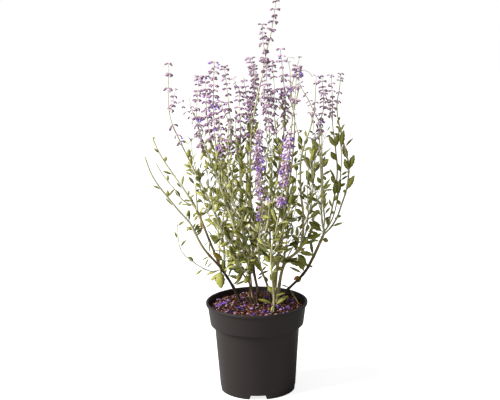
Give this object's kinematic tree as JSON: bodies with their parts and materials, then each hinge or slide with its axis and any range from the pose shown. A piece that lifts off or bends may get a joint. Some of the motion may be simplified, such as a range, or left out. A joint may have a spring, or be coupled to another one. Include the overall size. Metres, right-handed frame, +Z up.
{
  "type": "potted russian sage",
  "caption": "Russian sage in a round plastic nursery pot with soil: thin branching stems with small grey-green leaves and slender spikes of violet flower rings.",
  "frame": {"origin": "on the pot's axis at the surface that the pot stands on, which is also the middle of the plant's plan", "axes": "+Z up, -Y towards the front, +X to the right seen from the front"},
  "size_m": [0.3958, 0.2858, 0.7451],
  "materials": {
    "pot_plastic": "moulded anthracite, satin",
    "soil": "bark and peat potting soil",
    "old_wood": "rough bark",
    "stem": "downy grey-green bark",
    "leaf": "matte grey-green leaf",
    "pale_leaf": "matte yellow-green leaf",
    "dry_leaf": "dry orange-brown leaf",
    "flower": "downy violet calyx and petals"
  },
  "bodies": {
    "root": {"dry_leaf": "dry_leaf", "flower_spike_back_left": "flower", "flower_spike_back_middle": "flower", "flower_spike_back_right": "flower", "flower_spike_front_left": "flower", "flower_spike_front_right": "flower", "flower_spike_left_inner": "flower", "flower_spike_left_pale": "flower", "flower_spike_left_tall": "flower", "flower_spike_mid_left": "flower", "flower_spike_mid_right": "flower", "flower_spike_middle_dark": "flower", "flower_spike_right_brown": "flower", "flower_spike_right_fork": "flower", "flower_spike_right_inner": "flower", "flower_spike_right_long": "flower", "flower_spike_right_outer": "flower", "flower_spike_tall_middle": "flower", "flower_spike_top_right": "flower", "hanging_leaf": "pale_leaf", "leafy_shoot_back_left": "leaf", "leafy_shoot_back_middle": "leaf", "leafy_shoot_back_right": "leaf", "leafy_shoot_front_left": "leaf", "leafy_shoot_front_right": "leaf", "leafy_shoot_left_arch": "leaf", "leafy_shoot_left_dark": "leaf", "leafy_shoot_left_inner": "leaf", "leafy_shoot_left_pale": "leaf", "leafy_shoot_left_tall": "leaf", "leafy_shoot_right_fork": "leaf", "leafy_shoot_right_long": "leaf", "leafy_shoot_right_outer": "leaf", "leafy_shoot_top_right": "leaf", "low_front_leaf": "leaf", "low_right_leaf": "leaf", "pot": "pot_plastic", "root_crown": "old_wood", "soil": "soil", "stem_back_left": "stem", "stem_back_middle": "stem", "stem_back_right": "stem", "stem_front_left": "stem", "stem_front_right": "stem", "stem_left_arch": "stem", "stem_left_dark": "stem", "stem_left_inner": "stem", "stem_left_low": "stem", "stem_left_pale": "stem", "stem_left_tall": "stem", "stem_mid_left": "stem", "stem_mid_right": "stem", "stem_middle_dark": "stem", "stem_right_brown": "stem", "stem_right_fork": "stem", "stem_right_inner": "stem", "stem_right_long": "stem", "stem_right_outer": "stem", "stem_tall_middle": "stem", "stem_top_right": "stem"}
  },
  "joints": []
}
